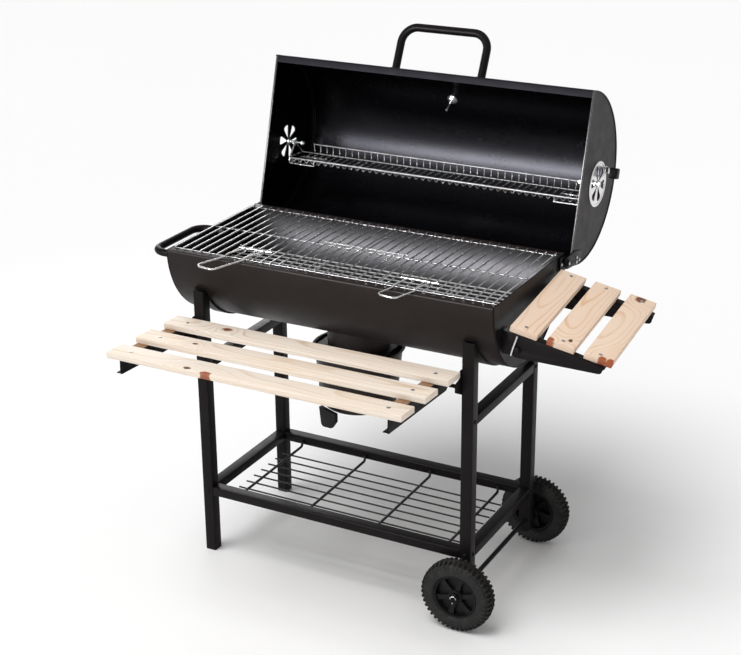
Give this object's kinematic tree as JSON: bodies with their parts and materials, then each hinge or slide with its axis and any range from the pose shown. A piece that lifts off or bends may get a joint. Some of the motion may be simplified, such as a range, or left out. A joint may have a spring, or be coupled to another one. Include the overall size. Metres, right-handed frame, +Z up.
{
  "type": "barrel charcoal grill trolley",
  "caption": "Half-drum charcoal grill with a hinged half-drum lid on a wheeled square-tube trolley, with folding slatted shelves, warming rack and ash cup.",
  "frame": {"origin": "on the ground, under the middle of the grill's bounding box", "axes": "+Z up, +X towards the wheels and the side shelf, +Y to the back, where the open lid leans"},
  "size_m": [1.031, 0.8772, 1.095],
  "materials": {
    "body_paint": "satin heat-proof black",
    "cap_paint": "satin warm dark grey",
    "frame_paint": "satin black powder coat",
    "chrome_wire": "bright plated",
    "black_wire": "black coated wire",
    "pine": "planed bare pine",
    "tyre_rubber": "matt moulded",
    "black_plastic": "fine grained",
    "zinc": "bright zinc plate"
  },
  "bodies": {
    "trolley": {"firebox_shell": "body_paint", "firebox_end_left": "body_paint", "firebox_end_right": "body_paint", "ash_collar": "body_paint", "side_handle": "frame_paint", "hinge_bracket_left": "frame_paint", "hinge_bracket_right": "frame_paint", "leg_front_left": "frame_paint", "leg_front_right": "frame_paint", "leg_rear_left": "frame_paint", "leg_rear_right": "frame_paint", "saddle_left": "frame_paint", "saddle_right": "frame_paint", "bottom_rail_left": "frame_paint", "bottom_rail_right": "frame_paint", "bottom_rail_front": "frame_paint", "bottom_rail_rear": "frame_paint", "upper_rail_left": "frame_paint", "upper_rail_right": "frame_paint", "bottom_rack": "black_wire", "axle": "frame_paint", "shelf_bracket_left": "frame_paint", "shelf_bracket_right": "frame_paint", "side_bracket_front": "frame_paint", "side_bracket_rear": "frame_paint"},
    "lid": {"lid_shell": "body_paint", "lid_end_left": "cap_paint", "lid_end_right": "cap_paint", "lid_handle": "frame_paint", "thermometer": "zinc", "hinge_strap_left": "frame_paint", "hinge_strap_right": "frame_paint", "vent_bolt_left": "zinc", "vent_bolt_right": "zinc"},
    "vent_left": {"vent_disc_left": "chrome_wire", "vent_knob_left": "black_plastic"},
    "vent_right": {"vent_disc_right": "chrome_wire", "vent_knob_right": "black_plastic"},
    "rack": {"warming_rack": "chrome_wire"},
    "grate_left": {"cooking_grate_left": "chrome_wire", "grate_handle_left": "chrome_wire"},
    "grate_right": {"cooking_grate_right": "chrome_wire", "grate_handle_right": "chrome_wire"},
    "coal_grate": {"charcoal_grate": "chrome_wire"},
    "ash_pan": {"ash_cup": "body_paint", "ash_cup_handle": "black_plastic"},
    "wheel_front": {"tyre_front": "tyre_rubber", "hub_front": "black_plastic"},
    "wheel_rear": {"tyre_rear": "tyre_rubber", "hub_rear": "black_plastic"},
    "front_shelf": {"front_slat_1": "pine", "front_slat_2": "pine", "front_slat_3": "pine", "front_arm_left": "frame_paint", "front_arm_right": "frame_paint"},
    "side_shelf": {"side_slat_1": "pine", "side_slat_2": "pine", "side_slat_3": "pine", "side_arm_front": "frame_paint", "side_arm_rear": "frame_paint"}
  },
  "joints": [
    {"name": "lid_hinge", "type": "hinge", "parent": "trolley", "child": "lid", "pos_m": [-0.0805, 0.16244, 0.6793], "axis": [1, 0, 0], "range_deg": [0, 106]},
    {"name": "rack_swing", "type": "hinge", "parent": "lid", "child": "rack", "pos_m": [-0.081, 0.3253, 0.80394], "axis": [1, 0, 0], "range_deg": [-107, 1]},
    {"name": "vent_left_turn", "type": "hinge", "parent": "lid", "child": "vent_left", "pos_m": [-0.4615, 0.3253, 0.80394], "axis": [1, 0, 0], "range_deg": [0, 30]},
    {"name": "vent_right_turn", "type": "hinge", "parent": "lid", "child": "vent_right", "pos_m": [0.2995, 0.3253, 0.80394], "axis": [1, 0, 0], "range_deg": [0, 30]},
    {"name": "front_wheel_roll", "type": "hinge", "parent": "trolley", "child": "wheel_front", "pos_m": [0.2375, -0.21526, 0.078], "axis": [0, 1, 0], "continuous": true},
    {"name": "rear_wheel_roll", "type": "hinge", "parent": "trolley", "child": "wheel_rear", "pos_m": [0.2375, 0.19074, 0.078], "axis": [0, 1, 0], "continuous": true},
    {"name": "left_grate_lift", "type": "slide", "parent": "trolley", "child": "grate_left", "axis": [0, 0, -1], "range_m": [-0.035, 0]},
    {"name": "right_grate_lift", "type": "slide", "parent": "trolley", "child": "grate_right", "axis": [0, 0, -1], "range_m": [-0.035, 0]},
    {"name": "coal_grate_lift", "type": "slide", "parent": "trolley", "child": "coal_grate", "axis": [0, 0, 1], "range_m": [0, 0.06]},
    {"name": "ash_cup_drop", "type": "slide", "parent": "trolley", "child": "ash_pan", "axis": [0, 0, -1], "range_m": [0, 0.1]},
    {"name": "front_shelf_fold", "type": "hinge", "parent": "trolley", "child": "front_shelf", "pos_m": [-0.1045, -0.19226, 0.526], "axis": [1, 0, 0], "range_deg": [0, 90]},
    {"name": "side_shelf_fold", "type": "hinge", "parent": "trolley", "child": "side_shelf", "pos_m": [0.3265, -0.01226, 0.609], "axis": [0, 1, 0], "range_deg": [0, 78]}
  ],
  "couplings": [
    {"joint": "rack_swing", "follows": "lid_hinge", "ratio": -1}
  ]
}
